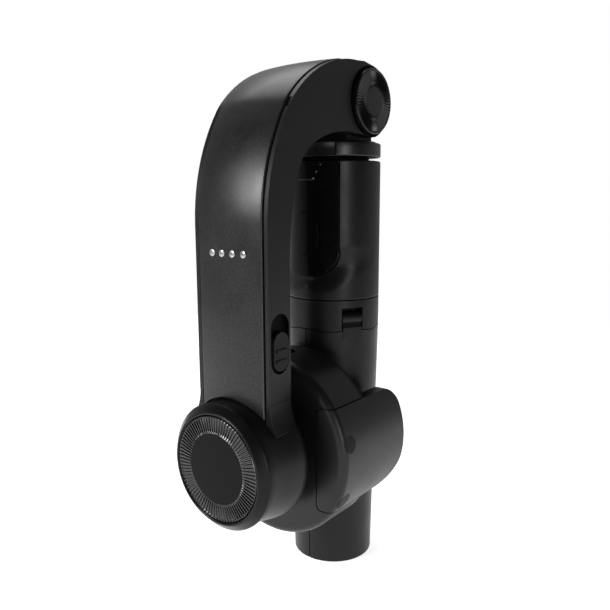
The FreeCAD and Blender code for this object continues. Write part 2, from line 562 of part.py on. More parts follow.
def make_clamp():
    disc = rod("clamp_rad", "clamp_front", "clamp_back - 2", ("0", "motor_z"), "y")
    soft = rounded(disc, "clamp_round", circle_at("clamp_rad", "y", "clamp_front"))
    guides = {1: ("motor_z + guide_near", "motor_z - guide_far"),
              -1: ("motor_z - guide_near", "motor_z + guide_far")}
    ways = [rod("guide_rad + fit", "-40", "40", ("guide_y", z), "x") for side in guides for z in guides[side]]
    hollow = rod("26", "-30", "clamp_back - 4", ("0", "motor_z"), "y")
    hollow = common(hollow, box(("-17.5", "-40", "0"), ("17.5", "0", "200")))
    socket = rod("socket_rad", "motor_z + clamp_rad - socket_deep", "100", ("0", "socket_y"))
    shaft_way = rod("shaft_rad", "-60", "clamp_front + 3", ("0", "motor_z"), "y")
    rooms = [jaw_room("jaw_gap", 1), jaw_room("jaw_gap", -1)]
    boss = rod("socket_rad + 2", "motor_z + clamp_rad - socket_deep - 2", "motor_z + clamp_rad - 1",
               ("0", "socket_y"))
    body = cut(fuse(cut(soft, hollow), boss), socket, shaft_way, *rooms, *ways)
    piece("clamp_body", body)
    back = rod("clamp_rad", "clamp_back - 2", "clamp_back - 0.8", ("0", "motor_z"), "y")
    piece("clamp_back_plate", cut(back, *rooms))
    rubber = box(("-clamp_pad_half", "clamp_back - 0.8", "motor_z - clamp_pad_tall/2"),
                 ("clamp_pad_half", "clamp_back", "motor_z + clamp_pad_tall/2"))
    piece("clamp_pad", rounded(rubber, "4", along_y))

    for side, name in ((1, "right"), (-1, "left")):
        drum = rod("clamp_rad", "clamp_front", "jaw_tail", ("0", "motor_z"), "y")
        drum = rounded(drum, "clamp_round", circle_at("clamp_rad", "y", "clamp_front"))
        grip = rod("clamp_rad - jaw_wall", "clamp_back", "jaw_tail - 2.6", ("0", "motor_z"), "y")
        mouth = box(("-(jaw_chord + 1.6)", "clamp_back - 1", "0"), ("jaw_chord + 1.6", "10", "100"))
        lining = common(cut(rod("clamp_rad - jaw_wall", "clamp_back + 0.4", "jaw_tail - 2.6",
                                ("0", "motor_z"), "y"),
                            rod("clamp_rad - jaw_wall - jaw_pad", "-30", "5", ("0", "motor_z"), "y")),
                        jaw_room("-3", side))
        piece("jaw_pad_" + name, lining)
        ends = ("-guide_inner", "guide_outer") if side > 0 else ("-guide_outer", "guide_inner")
        rods = [rod("guide_rad", *ends, ("guide_y", z), "x") for z in guides[side]]
        trimmed = common(fuse(*rods), rod("clamp_rad - plug_deep - 0.02", "-40", "0", ("0", "motor_z"), "y"))
        piece("guide_rods_" + name, trimmed)
        form = jaw_form(side)
        covers = fuse(*[rod("plug_rad", "-40", "40", ("guide_y", z), "x") for z in guides[side]])
        skin = cut(drum, rod("clamp_rad - plug_deep", "clamp_front - 1", "1", ("0", "motor_z"), "y"))
        plugs = common(covers, skin, form)
        piece("jaw_plugs_" + name, plugs)
        piece("jaw_" + name, cut(common(drum, form), grip, mouth, plugs, *rods))


make_handle()
make_tripod()
make_pole()
make_head()
make_arm()
make_motor()
make_clamp()
doc.recompute()

for thing in doc.Objects:
    if "Invalid" in thing.State or "Error" in thing.State:
        raise RuntimeError("%s did not build: %s" % (thing.Label, thing.State))
for name, thing in PIECES.items():
    if thing.Shape.isNull() or not thing.Shape.isValid() or not thing.Shape.Solids:
        raise RuntimeError("%s has no valid solid" % name)

os.makedirs("parts", exist_ok=True)
for name, thing in PIECES.items():
    thing.Shape.exportStep(os.path.join("parts", name + ".step"))
    print("%-20s %d solid(s) %9.1f mm3" % (name, len(thing.Shape.Solids), thing.Shape.Volume))
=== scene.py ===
"""Looks for the folding phone gimbal: procedural materials, finer casings, studio and camera.

Every length in the shape code is in millimetres in the part's own frame, and MM turns it into
metres when a mesh is made.  The arm and the motor are on the -Y side, and +Z is up the handle.
"""
import json
import math

import bmesh
import bpy
from mathutils import Matrix, Vector


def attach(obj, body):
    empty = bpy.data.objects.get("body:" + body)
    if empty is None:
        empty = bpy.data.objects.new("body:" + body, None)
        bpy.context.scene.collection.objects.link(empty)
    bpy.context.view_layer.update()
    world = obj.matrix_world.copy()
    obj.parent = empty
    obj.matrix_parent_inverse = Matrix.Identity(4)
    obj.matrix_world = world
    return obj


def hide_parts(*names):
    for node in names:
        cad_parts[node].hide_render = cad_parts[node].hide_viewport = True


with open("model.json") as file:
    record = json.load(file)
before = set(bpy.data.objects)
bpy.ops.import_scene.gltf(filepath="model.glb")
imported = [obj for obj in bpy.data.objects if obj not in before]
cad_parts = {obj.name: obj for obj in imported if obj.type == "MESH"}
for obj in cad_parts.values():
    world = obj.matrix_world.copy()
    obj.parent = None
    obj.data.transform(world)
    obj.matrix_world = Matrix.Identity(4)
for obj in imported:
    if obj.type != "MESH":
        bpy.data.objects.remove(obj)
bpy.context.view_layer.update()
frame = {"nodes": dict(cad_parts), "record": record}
MM = 0.001
COLLECTION = bpy.context.scene.collection


# ---------------------------------------------------------------- materials
# Cloudy tone, and metal flakes of a size and tone; only the cells above FLAKES_FROM glint.
CLOUD_SIZE, CLOUD_SHARE = 14, 0.55
FLAKE_SIZE, FLAKE_TONE, FLAKES_FROM = 0.22, 0.35, 0.7
COAT_ROUGH, RELIEF_STRENGTH = 0.08, 0.35


def node(tree, kind, inputs=None, **settings):
    """A shader node with its settings and its unlinked inputs given by name."""
    made = tree.nodes.new(kind)
    for key, value in settings.items():
        setattr(made, key, value)
    for key, value in (inputs or {}).items():
        made.inputs[key].default_value = value
    return made


def grey(level):
    """A neutral colour."""
    return (level, level, level, 1)


def surface(name, colour, rough, specular=0.5, metallic=0.0, grain=0.25, bump=0.02, spread=0.25,
            rough_spread=0.05, coat=0.0, sparkle=0.0, brushed=None):
    """A moulded or metal surface: fine grain, cloudy tone and roughness, optional flake sparkle.
    Grain and bump are lengths; spread is the share by which the tone varies."""
    material = bpy.data.materials.new(name)
    material.use_nodes = True
    tree = material.node_tree
    shader = tree.nodes["Principled BSDF"]
    shader.inputs["Metallic"].default_value = metallic
    shader.inputs["Specular IOR Level"].default_value = specular
    shader.inputs["Coat Weight"].default_value = coat
    shader.inputs["Coat Roughness"].default_value = COAT_ROUGH
    place = node(tree, "ShaderNodeTexCoord")
    scaled = node(tree, "ShaderNodeMapping")
    if brushed:
        scaled.inputs["Scale"].default_value = brushed
    tree.links.new(place.outputs["Object"], scaled.inputs["Vector"])

    fine = node(tree, "ShaderNodeTexNoise", {"Scale": 1 / (grain * MM), "Detail": 3.0, "Roughness": 0.6})
    cloud = node(tree, "ShaderNodeTexNoise", {"Scale": 1 / (CLOUD_SIZE * MM), "Detail": 4.0})
    tree.links.new(scaled.outputs["Vector"], fine.inputs["Vector"])
    tree.links.new(place.outputs["Object"], cloud.inputs["Vector"])

    tone = node(tree, "ShaderNodeValToRGB")
    low = tone.color_ramp.elements[0]
    high = tone.color_ramp.elements[1]
    low.position = 0.25
    high.position = 0.75
    low.color = tuple(c * (1 - spread) for c in colour[:3]) + (1,)
    high.color = tuple(c * (1 + spread) for c in colour[:3]) + (1,)
    mixed = node(tree, "ShaderNodeMix", {"Factor": CLOUD_SHARE}, data_type="FLOAT")
    tree.links.new(fine.outputs["Fac"], mixed.inputs["A"])
    tree.links.new(cloud.outputs["Fac"], mixed.inputs["B"])
    tree.links.new(mixed.outputs["Result"], tone.inputs["Fac"])
    colour_out = tone.outputs["Color"]
    if sparkle:
        flakes = node(tree, "ShaderNodeTexVoronoi", {"Scale": 1 / (FLAKE_SIZE * MM)})
        tree.links.new(place.outputs["Object"], flakes.inputs["Vector"])
        split = node(tree, "ShaderNodeSeparateColor")
        tree.links.new(flakes.outputs["Color"], split.inputs["Color"])
        glint = node(tree, "ShaderNodeMapRange",
                     {"From Min": FLAKES_FROM, "From Max": 1.0, "To Min": 0.0, "To Max": sparkle})
        tree.links.new(split.outputs["Red"], glint.inputs["Value"])
        lit = node(tree, "ShaderNodeMix", {"B": grey(FLAKE_TONE)}, data_type="RGBA")
        tree.links.new(glint.outputs["Result"], lit.inputs["Factor"])
        tree.links.new(colour_out, lit.inputs["A"])
        colour_out = lit.outputs["Result"]
    tree.links.new(colour_out, shader.inputs["Base Color"])

    gloss = node(tree, "ShaderNodeMapRange",
                 {"From Min": 0.3, "From Max": 0.7,
                  "To Min": rough - rough_spread, "To Max": rough + rough_spread})
    tree.links.new(cloud.outputs["Fac"], gloss.inputs["Value"])
    tree.links.new(gloss.outputs["Result"], shader.inputs["Roughness"])
    relief = node(tree, "ShaderNodeBump", {"Strength": RELIEF_STRENGTH, "Distance": bump * MM})
    tree.links.new(fine.outputs["Fac"], relief.inputs["Height"])
    tree.links.new(relief.outputs["Normal"], shader.inputs["Normal"])
    return material


FINISH = {
    "shell_black": surface("moulded_black", grey(0.0065), 0.4, specular=0.26, bump=0.02),
    "cover_charcoal": surface("sparkle_charcoal", grey(0.0085), 0.34, specular=0.36, bump=0.03,
                              grain=0.35, spread=0.4, sparkle=0.07),
    "gloss_black": surface("gloss_black", grey(0.003), 0.14, specular=0.22, bump=0.004, coat=0.1,
                           rough_spread=0.02),
    "puck_satin": surface("puck_satin", grey(0.008), 0.34, specular=0.45, bump=0.03, grain=0.35,
                          spread=0.4),
    "clamp_satin": surface("clamp_satin", grey(0.0075), 0.36, specular=0.36, bump=0.02),
    "flute_metal": surface("flute_metal", grey(0.075), 0.24, metallic=1.0, bump=0.006, grain=0.2),
    "knob_gloss": surface("knob_gloss", grey(0.006), 0.27, specular=0.32, bump=0.006, grain=0.2),
    # painted highlight: a light grey, very glossy finish for rounded edges, so they show as bright lines
    # on the black parts
    "painted_glint_edge": surface("painted_glint_edge", grey(0.08), 0.28, specular=1.0, bump=0.004),
    "plate_satin": surface("plate_satin", grey(0.0035), 0.4, specular=0.075, bump=0.012, grain=0.2),
    # painted shade: a darker, duller black for the walls of cuts, slots, grooves and gaps, standing in
    # for the shade inside them
    "painted_shade_black": surface("painted_shade_black", grey(0.0015), 0.6, specular=0.06, bump=0.01),
    # painted highlight: a lighter, glossier copy of the cover's finish for its rounded edges, so they
    # show as bright lines
    "painted_highlight_edge": surface("painted_highlight_edge", grey(0.015), 0.3, specular=0.7, bump=0.004),
    "matte_black": surface("matte_black", grey(0.006), 0.6, specular=0.25, bump=0.03),
    "rubber_black": surface("rubber_black", grey(0.009), 0.8, specular=0.2, bump=0.05, grain=0.4),
    "motor_satin": surface("satin_alloy", grey(0.0045), 0.3, specular=0.19, bump=0.012, grain=0.2),
    "steel": surface("pin_steel", grey(0.42), 0.3, metallic=1.0, bump=0.01, grain=0.15, spread=0.1),
    "rod_chrome": surface("tube_steel", grey(0.3), 0.22, metallic=1.0, bump=0.006, grain=0.2,
                          spread=0.08, brushed=(1, 1, 0.08)),
    "board_green": surface("board_green", (0.01, 0.07, 0.03, 1), 0.4, spread=0.3),
    "cell_silver": surface("cell_steel", grey(0.5), 0.28, metallic=1.0, spread=0.08),
    "battery_wrap": surface("battery_foil", grey(0.2), 0.35, metallic=0.6, spread=0.15, grain=0.8),
    "copper": surface("winding_copper", (0.42, 0.16, 0.06, 1), 0.35, metallic=1.0,
                      brushed=(1, 0.1, 1)),
}

# The clamp and its jaws share the handle's slot, and are a little glossier than the handle.
SATIN_NODES = ("clamp_body", "jaw_right", "jaw_left")


def dress_cad():
    """Give every CAD node the finish of its slot in the record."""
    slots = {part["node"]: part["material_slot"] for part in frame["record"]["subparts"]}
    for name, obj in frame["nodes"].items():
        finish = FINISH["clamp_satin" if name in SATIN_NODES else slots[name]]
        if not obj.material_slots:
            obj.data.materials.append(finish)
        for place in obj.material_slots:
            place.material = finish


# ---------------------------------------------------------------- mesh tools
SIDES = ((1, "right"), (-1, "left"))
AXES = {"x": (1, 2, 0), "y": (0, 2, 1), "z": (0, 1, 2)}


def clip(value):
    """The value held between 0 and 1."""
    return min(1, max(0, value))


def ease(share):
    """A share from 0 to 1, made to start and end gently."""
    return share * share * (3 - 2 * share)


def outline(corners, step=3.0):
    """A closed outline from corners (across, up, bend), the bend being the radius of the arc to the
    next corner, positive where the arc bulges to the left of the way, or None for a straight edge.
    An arc gets a point about every step degrees."""
    points = []
    for n, (across, up, bend) in enumerate(corners):
        here = Vector((across, up))
        there = Vector(corners[(n + 1) % len(corners)][:2])
        points.append(here)
        if bend is None:
            continue
        half = (there - here) / 2
        left = Vector((-half.y, half.x)).normalized()
        side = 1 if bend > 0 else -1
        centre = here + half - left * side * math.sqrt(bend * bend - half.length_squared)
        first, last = here - centre, there - centre
        sweep = math.atan2(first.x * last.y - first.y * last.x, first.dot(last))
        count = max(2, round(abs(math.degrees(sweep)) / step))
        for k in range(1, count):
            turn = sweep * k / count
            points.append(centre + Vector((first.x * math.cos(turn) - first.y * math.sin(turn),
                                           first.x * math.sin(turn) + first.y * math.cos(turn))))
    return points


def new_object(name, verts, faces, finish):
    """A smooth-shaded object from points in millimetres."""
    mesh = bpy.data.meshes.new(name)
    mesh.from_pydata([Vector(v) * MM for v in verts], [], faces)
    work = bmesh.new()
    work.from_mesh(mesh)
    bmesh.ops.recalc_face_normals(work, faces=work.faces)
    work.to_mesh(mesh)
    work.free()
    for face in mesh.polygons:
        face.use_smooth = True
    if finish:
        mesh.materials.append(FINISH[finish])
    made = bpy.data.objects.new(name, mesh)
    COLLECTION.objects.link(made)
    return made


def spot(axis, a, b, along):
    """The point with these two cross coordinates and this one along the axis."""
    place = [0, 0, 0]
    for index, value in zip(AXES[axis], (a, b, along)):
        place[index] = value
    return tuple(place)


def prism(name, axis, points, low, high, finish=None):
    """An outline drawn across an axis and extruded along it."""
    count = len(points)
    verts = [spot(axis, p[0], p[1], end) for end in (low, high) for p in points]
    faces = [list(range(count)), list(range(count, 2 * count))]
    faces += [(k, (k + 1) % count, count + (k + 1) % count, count + k) for k in range(count)]
    return new_object(name, verts, faces, finish)


def lathe(name, axis, centre, profile, count, finish=None, shift=None):
    """A profile of (radius, along) turned about an axis; shift(radius, along, angle) moves a point
    by (outwards, along). A radius of 0 closes the end."""
    verts, rings = [], []
    for radius, along in profile:
        if radius == 0:
            rings.append([len(verts)] * count)
            verts.append(spot(axis, centre[0], centre[1], along))
            continue
        ring = []
        for k in range(count):
            angle = 2 * math.pi * k / count
            out, on = shift(radius, along, angle) if shift else (0, 0)
            ring.append(len(verts))
            verts.append(spot(axis, centre[0] + (radius + out) * math.cos(angle),
                              centre[1] + (radius + out) * math.sin(angle), along + on))
        rings.append(ring)
    faces = []
    for low, high in zip(rings, rings[1:]):
        for k in range(count):
            corner = [low[k], low[(k + 1) % count], high[(k + 1) % count], high[k]]
            kept = list(dict.fromkeys(corner))
            if len(kept) > 2:
                faces.append(kept)
    return new_object(name, verts, faces, finish)


def carve(base, tools, operation="DIFFERENCE"):
    """Cut the tools from the base, or keep what they share, and drop the tools. A cut wall takes
    the finish of its tool."""
    for tool in tools:
        step = base.modifiers.new("carve", "BOOLEAN")
        step.operation = operation
        step.object = tool
        step.solver = "EXACT"
        step.material_mode = "TRANSFER"
    bpy.context.view_layer.update()
    carved = base.evaluated_get(bpy.context.evaluated_depsgraph_get())
    mesh = bpy.data.meshes.new_from_object(carved)
    base.modifiers.clear()
    base.data = mesh
    for tool in tools:
        bpy.data.objects.remove(tool)
    for face in mesh.polygons:
        face.use_smooth = True


def soften(piece, width, angle=32, segments=3, edge=None):
    """Round the sharp edges, in their own finish if one is named, and keep the flat faces flat."""
    round_off = piece.modifiers.new("round", "BEVEL")
    round_off.width = width * MM
    round_off.segments = segments
    round_off.limit_method = "ANGLE"
    round_off.angle_limit = math.radians(angle)
    round_off.miter_outer = "MITER_ARC"
    if edge:
        piece.data.materials.append(FINISH[edge])
        round_off.material = len(piece.data.materials) - 1
    shade = piece.modifiers.new("shade", "WEIGHTED_NORMAL")
    shade.keep_sharp = True


def facet(piece):
    """Show the facets of a fluted piece instead of blending them."""
    for face in piece.data.polygons:
        face.use_smooth = False


def ready(piece, body, slot, *nodes):
    """Attach a piece to its body, in place of its CAD nodes. The slot is not used."""
    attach(piece, body)
    if nodes:
        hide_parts(*nodes)


def disc_tool(axis, centre, radius, low, high, count=96, finish=None):
    """A plain cylinder for carving."""
    return lathe("tool", axis, centre, [(0, low), (radius, low), (radius, high), (0, high)], count,
                 finish)


def box_tool(low, high, finish=None):
    """A plain box for carving."""
    flat = [(low[0], low[1]), (high[0], low[1]), (high[0], high[1]), (low[0], high[1])]
    return prism("tool", "z", flat, low[2], high[2], finish)


def flute_wave(angle, flutes):
    """How far this angle is from the middle of its flute, from 0 to 1."""
    return abs(((angle * flutes / (2 * math.pi)) % 1) * 2 - 1)


# ---------------------------------------------------------------- arm
ARM_HALF, COVER_HALF = 15.5, 13.4
ARM_FRONT, ARM_BACK, ARM_FOOT, CROWN_TOP = -54.9, -44.3, 74.4, 182.6
MOTOR_Z, PIVOT_Z = 52.66, 169.7

# The cover is a grid of points. Its crown flattens from the share FADE_FROM of its length on.
COVER_ROWS, COVER_COLUMNS, FOOT_ROWS = 150, 24, 12
COVER_THICK, COVER_END, COVER_FOOT_RAD = 1.8, -13.9, 21.3
COVER_CROWN, CROWN_FADE, FADE_FROM = 1.1, 0.65, 0.8
CROWN_GAP, SIDE_GAP, BED_FRONT = 0.3, 0.7, -53.0

# A cutting tool starts in front of the arm, so its inset is negative.
SHELL_INSET, TOOL_INSET = 0.35, -2
SLOT_Y, SLOT_LOW, SLOT_HIGH, SLOT_HALF, SLOT_DEPTH = -49.3, 83.3, 102.3, 4.25, 1.3
HINGE_HALF, HINGE_ROOM, CAP_SEAT, CAP_SEAT_RAD = 11.5, 13, 14.7, 11.8
HOOK_WALL = 0.5


def front_edge(inset):
    """The front of the arm's side view, moved inwards by the inset."""
    return [
        (ARM_FRONT + inset, ARM_FOOT, None),
        (ARM_FRONT + inset, 129, 65.4),
        (-43.93 + inset * 0.83, 165.21 - inset * 0.55, 20),
        (-42.13 + inset * 0.74, 167.53 - inset * 0.67, 45.7),
        (-8.14, CROWN_TOP - inset, None),
    ]


# The rest of the side view: round the hinge, along the crown's underside and down the arm's back.
ARM_TAIL = [
    (-3.92, CROWN_TOP, None), (2.1, 181.72, 12.2), (3.16, 157.92, None), (-12.1, 158.96, -43.95),
    (-31.1, 154.63, -17.5), (-40.25, 144.04, -90.7), (-44.3, 117.2, None), (ARM_BACK, ARM_FOOT, None),
]

# The floor of the recess that the cover lies in, from its upper end down.
COVER_BED = [
    (COVER_END, 186, None), (COVER_END, 179.9, None), (-41.2, 166.2, None), (-43.0, 163.6, None),
    (-48.3, 148.5, None), (-51.8, 137, None), (BED_FRONT, 129, None), (BED_FRONT, 70, None),
]

# The floor of the groove beside the cover, and the small hooked notch at its upper end.
GROOVE_BED = [(-43.2, 163.6, None)] + COVER_BED[4:]
HOOK = [(-45.6, 163.6), (-43.0, 167.6), (-41.9, 166.8), (-43.6, 164.2)]


def cover_path():
    """Points and outward normals along the cover's middle line, from its foot over the crown."""
    whole = outline(front_edge(0) + [(0, 0, None)], 0.8)
    end = max(n for n, p in enumerate(whole) if p[1] > 90 and p[0] < COVER_END)
    rail = whole[:end + 1]
    lengths = [0]
    for a, b in zip(rail, rail[1:]):
        lengths.append(lengths[-1] + (b - a).length)
    path, leg = [], 0
    for k in range(COVER_ROWS + 1):
        want = lengths[-1] * k / COVER_ROWS
        while leg < len(rail) - 2 and lengths[leg + 1] < want:
            leg += 1
        share = (want - lengths[leg]) / (lengths[leg + 1] - lengths[leg])
        path.append(rail[leg].lerp(rail[leg + 1], share))
    normals = []
    for k in range(COVER_ROWS + 1):
        way = (path[min(k + 1, COVER_ROWS)] - path[max(k - 1, 0)]).normalized()
        normals.append(Vector((-way.y, way.x)))
    return path, normals


def cover_grid(path, normals, depth):
    """Rows of points this far under the cover's face. The crown flattens towards the upper end, and
    the lowest rows fan out to meet the round foot."""
    grid = []
    for k, (middle, normal) in enumerate(zip(path, normals)):
        fade = clip((k / COVER_ROWS - FADE_FROM) / (1 - FADE_FROM))
        crown = COVER_CROWN * (1 - CROWN_FADE * ease(fade))
        row = []
        for j in range(COVER_COLUMNS + 1):
            across = 2 * j / COVER_COLUMNS - 1
            rise = crown * (1 - across * across) - depth
            row.append([across * COVER_HALF, middle[0] + normal[0] * rise, middle[1] + normal[1] * rise])
        grid.append(row)
    for j in range(COVER_COLUMNS + 1):
        x = grid[0][j][0]
        low = MOTOR_Z + math.sqrt(COVER_FOOT_RAD ** 2 - x * x)
        high = grid[FOOT_ROWS][j][2]
        for k in range(FOOT_ROWS):
            grid[k][j][2] = low + (high - low) * k / FOOT_ROWS
    return grid


def make_cover():
    """The long crowned cover: a grid over its width and length, with a back face and a rim."""
    path, normals = cover_path()
    grids = [cover_grid(path, normals, depth) for depth in (0, COVER_THICK)]
    verts = [point for grid in grids for row in grid for point in row]
    wide = COVER_COLUMNS + 1
    back = wide * (COVER_ROWS + 1)
    faces = []
    for k in range(COVER_ROWS):
        row, above = k * wide, (k + 1) * wide
        for j in range(COVER_COLUMNS):
            faces.append((row + j, row + j + 1, above + j + 1, above + j))
            faces.append((back + row + j, back + above + j, back + above + j + 1, back + row + j + 1))
        for j in (0, COVER_COLUMNS):
            faces.append((row + j, above + j, back + above + j, back + row + j))
    for row in (0, COVER_ROWS * wide):
        for j in range(COVER_COLUMNS):
            faces.append((row + j, row + j + 1, back + row + j + 1, back + row + j))
    cover = new_object("cover", verts, faces, "cover_charcoal")
    # the cover's rounded rim is in the painted highlight finish, so it shows as a bright line
    soften(cover, 0.35, 40, edge="painted_highlight_edge")
    ready(cover, "arm", "cover_charcoal", "arm_front_cover")


def slot_outline():
    """The lock slider's slot in side view, upright with round ends."""
    bend = SLOT_HALF + 0.0001
    front, back = SLOT_Y - SLOT_HALF, SLOT_Y + SLOT_HALF
    return outline([(front, SLOT_HIGH - SLOT_HALF, bend), (back, SLOT_HIGH - SLOT_HALF, None),
                    (back, SLOT_LOW + SLOT_HALF, bend), (front, SLOT_LOW + SLOT_HALF, None)], 8)


def make_arm_shells():
    """The two side shells, cut for the cover, the hinge and its caps. The right one also has the
    slider's slot, the groove beside the cover and the hooked notch."""
    for side, name in SIDES:
        shape = outline(front_edge(SHELL_INSET) + ARM_TAIL)
        low, high = sorted((0, side * ARM_HALF))
        shell = prism("arm_side_" + name, "x", shape, low, high, "shell_black")
        # the cut walls of the cover's recess, the cap seats, the slot, the groove and the notch take the
        # painted shade finish
        tools = [
            prism("tool", "x", outline(front_edge(TOOL_INSET)[:4] + COVER_BED),
                  -COVER_HALF - CROWN_GAP, COVER_HALF + CROWN_GAP, "painted_shade_black"),
            box_tool((-HINGE_HALF, -9.3, 155), (HINGE_HALF, 14, 184)),
            disc_tool("x", (0, PIVOT_Z), HINGE_ROOM, -HINGE_HALF, HINGE_HALF),
            disc_tool("x", (0, PIVOT_Z), CAP_SEAT_RAD, CAP_SEAT * side, 16.5 * side, 96, "painted_shade_black"),
        ]
        if side > 0:
            groove = outline(front_edge(TOOL_INSET)[:3] + GROOVE_BED)
            tools += [
                prism("tool", "x", slot_outline(), ARM_HALF - SLOT_DEPTH, 20, "painted_shade_black"),
                prism("tool", "x", groove, COVER_HALF, COVER_HALF + SIDE_GAP, "painted_shade_black"),
                prism("tool", "x", HOOK, COVER_HALF, ARM_HALF - HOOK_WALL, "painted_shade_black"),
            ]
        carve(shell, tools)
        soften(shell, 0.3, 35)
        ready(shell, "arm", "shell_black", "arm_shell_" + name)


# ---------------------------------------------------------------- motor
HOUSING_BORE, NECK_FLARE, CAN_RAD = 18.7, 17.0, 22.1
# The arm's bay for its electronics reaches down into the neck.
BAY_HALF, BAY_FRONT, BAY_REAR = 11.2, -51.6, -46.4
CAP_FACE, CAP_BACK, DISC_RAD, FLUTES_END = -63.2, -60.9, 11.6, 17.0
# The caps are at the two ends of the hinge (KNOB) and on the front of the motor (CAP).
CAP_FLUTES, CAP_FLUTE_DEPTH = 84, 0.45
KNOB_FLUTES, KNOB_FLUTE_DEPTH, KNOB_FACE = 60, 0.45, 17.36


def make_housing():
    """The motor housing: a smooth can, and the neck that flares from the arm's sides into it."""
    can = lathe("motor_can", "y", (0, MOTOR_Z), [
        (HOUSING_BORE, -59.7), (20.4, -59.7), (20.45, -59.6), (20.5, -57.5), (20.75, -54.9),
        (21.15, -52.5), (21.7, -50), (CAN_RAD, -48), (22.3, -46.5), (22.35, -45.4), (22.2, -44.4),
        (21.7, -43.6), (20.9, -43.15), (19.8, -43), (6.05, -43), (6.05, -44.8), (HOUSING_BORE, -44.8),
        (HOUSING_BORE, -59.7)], 240, "shell_black")
    share = CAN_RAD / (CAN_RAD + NECK_FLARE)
    tip_x = (ARM_HALF + NECK_FLARE) * share
    tip_z = MOTOR_Z + (ARM_FOOT - MOTOR_Z) * share
    shape = outline([(-ARM_HALF, ARM_FOOT, NECK_FLARE), (-tip_x, tip_z, None), (-12, 60, None),
                     (12, 60, None), (tip_x, tip_z, NECK_FLARE), (ARM_HALF, ARM_FOOT, None)], 2)
    neck = prism("motor_neck", "y", shape, -54.55, ARM_BACK, "shell_black")
    cover_room = COVER_HALF + 0.45
    carve(neck, [disc_tool("y", (0, MOTOR_Z), HOUSING_BORE, -60, -44.8),
                 box_tool((-cover_room, -58, 60), (cover_room, BED_FRONT, 76)),
                 box_tool((-BAY_HALF, BAY_FRONT, 66), (BAY_HALF, BAY_REAR, 76))])
    soften(neck, 0.3, 35)
    ready(can, "arm", "shell_black", "motor_housing")
    ready(neck, "arm", "shell_black", "motor_housing")


def make_motor_cap():
    """The motor's conical rim, and its front plate with fine flutes round a plain disc."""
    rim = lathe("cap_rim", "y", (0, MOTOR_Z), [
        (16.2, -60.2), (17.4, -60.4), (17.4, -62.9), (17.75, -63.15), (18.0, -63.3), (18.3, -63.25),
        (18.6, -62.95), (20.55, -61.15), (20.8, -60.8), (20.85, -60.4), (20.8, -60.0), (20.5, -59.85),
        (18.5, -59.8), (18.5, -56), (16.2, -56), (16.2, -60.2)], 180, "motor_satin")
    ready(rim, "arm", "motor_satin", "motor_cap_rim")

    def ripple(radius, along, angle):
        share = clip((radius - DISC_RAD) / 0.5) * clip((FLUTES_END - radius) / 0.3)
        sunk = clip((flute_wave(angle, CAP_FLUTES) - 0.3) / 0.3)
        return 0, CAP_FLUTE_DEPTH * share * sunk if along < -62 else 0

    profile = [(DISC_RAD, CAP_BACK), (17.2, CAP_BACK), (17.2, -62.9), (17.05, -63.1)]
    profile += [(radius, CAP_FACE) for radius in (16.8, 16.6, 15.5, 14, 13.2, 12.4, 11.7, DISC_RAD)]
    profile.append((DISC_RAD, CAP_BACK))
    fluted = lathe("cap_flutes", "y", (0, MOTOR_Z), profile, CAP_FLUTES * 8, "flute_metal", ripple)
    edge = DISC_RAD - 0.01
    disc = lathe("cap_disc", "y", (0, MOTOR_Z), [
        (0, CAP_BACK), (edge, CAP_BACK), (edge, CAP_FACE), (11.5, CAP_FACE), (5, CAP_FACE),
        (0, CAP_FACE)], 180, "plate_satin")
    facet(fluted)
    for plate in (fluted, disc):
        ready(plate, "arm", "cover_charcoal", "motor_cap_plate")


def make_hinge_caps():
    """The two hinge caps, fluted round a smooth middle."""
    face = [(0, 15.5), (10.9, 15.5), (11, 16.7), (10.9, 17.05), (10.7, 17.3)]
    face += [(radius, KNOB_FACE) for radius in (10.4, 10, 9, 8, 7, 6, 5.2, 4.6)]
    face += [(2, 17.4), (0, 17.4)]
    for side, name in SIDES:
        def ripple(radius, along, angle, side=side):
            share = clip((radius - 4.6) / 2.5) * clip((10.5 - radius) / 0.4)
            sunk = KNOB_FLUTE_DEPTH * share * flute_wave(angle, KNOB_FLUTES)
            return 0, -sunk * side if abs(along) > 17 else 0

        cap = lathe("hinge_cap_" + name, "x", (0, PIVOT_Z), [(r, side * x) for r, x in face],
                    KNOB_FLUTES * 6, "knob_gloss", ripple)
        facet(cap)
        ready(cap, "arm", "shell_black", "hinge_cap_" + name)


# ---------------------------------------------------------------- handle, remote and puck
HANDLE_RAD, SHELL_BORE, SHELL_LIP, SHELL_LOW, SHELL_TOP = 17, 7.02, 6.65, 101.2, 149.8
REMOTE_HALF, REMOTE_LOW, REMOTE_TOP, REMOTE_BEND = 11.35, 109.5, 149.3, 9.5
SCOOP_DEPTH, SCOOP_TOP = 1.8, 120
KEY_HALF, KEY_MIDDLE, KEY_REACH = 5, 124.6, 2.75


def remote_outline(grow):
    """The remote's front view, larger by grow and open-ended above its top."""
    half, low, bend = REMOTE_HALF + grow, REMOTE_LOW - grow, REMOTE_BEND + grow
    top = REMOTE_TOP + 3
    return outline([(-half, top, None), (-half, low + bend, -bend), (-half + bend, low, None),
                    (half - bend, low, -bend), (half, low + bend, None), (half, top, None)], 5)


def key_outline(grow):
    """The remote key's front view, an upright pill, larger by grow."""
    half, high, low = KEY_HALF + grow, KEY_MIDDLE + KEY_REACH, KEY_MIDDLE - KEY_REACH
    bend = -half - 0.01
    return outline([(half, high, bend), (-half, high, None), (-half, low, bend), (half, low, None)], 8)


def scoop_depth(x, z):
    """How deep the thumb scoop round the foot of the remote is at this place on the handle."""
    middle = REMOTE_LOW + REMOTE_BEND
    away = math.hypot(max(0, abs(x) - REMOTE_HALF + REMOTE_BEND), max(0, middle - z)) - REMOTE_BEND
    if z > middle:
        away = abs(x) - REMOTE_HALF
    reach = 4.2 + 3.2 * min(1, abs(x) / 9)
    near = 1 - clip(away / reach)
    return SCOOP_DEPTH * ease(near) * clip((SCOOP_TOP - z) / 7)


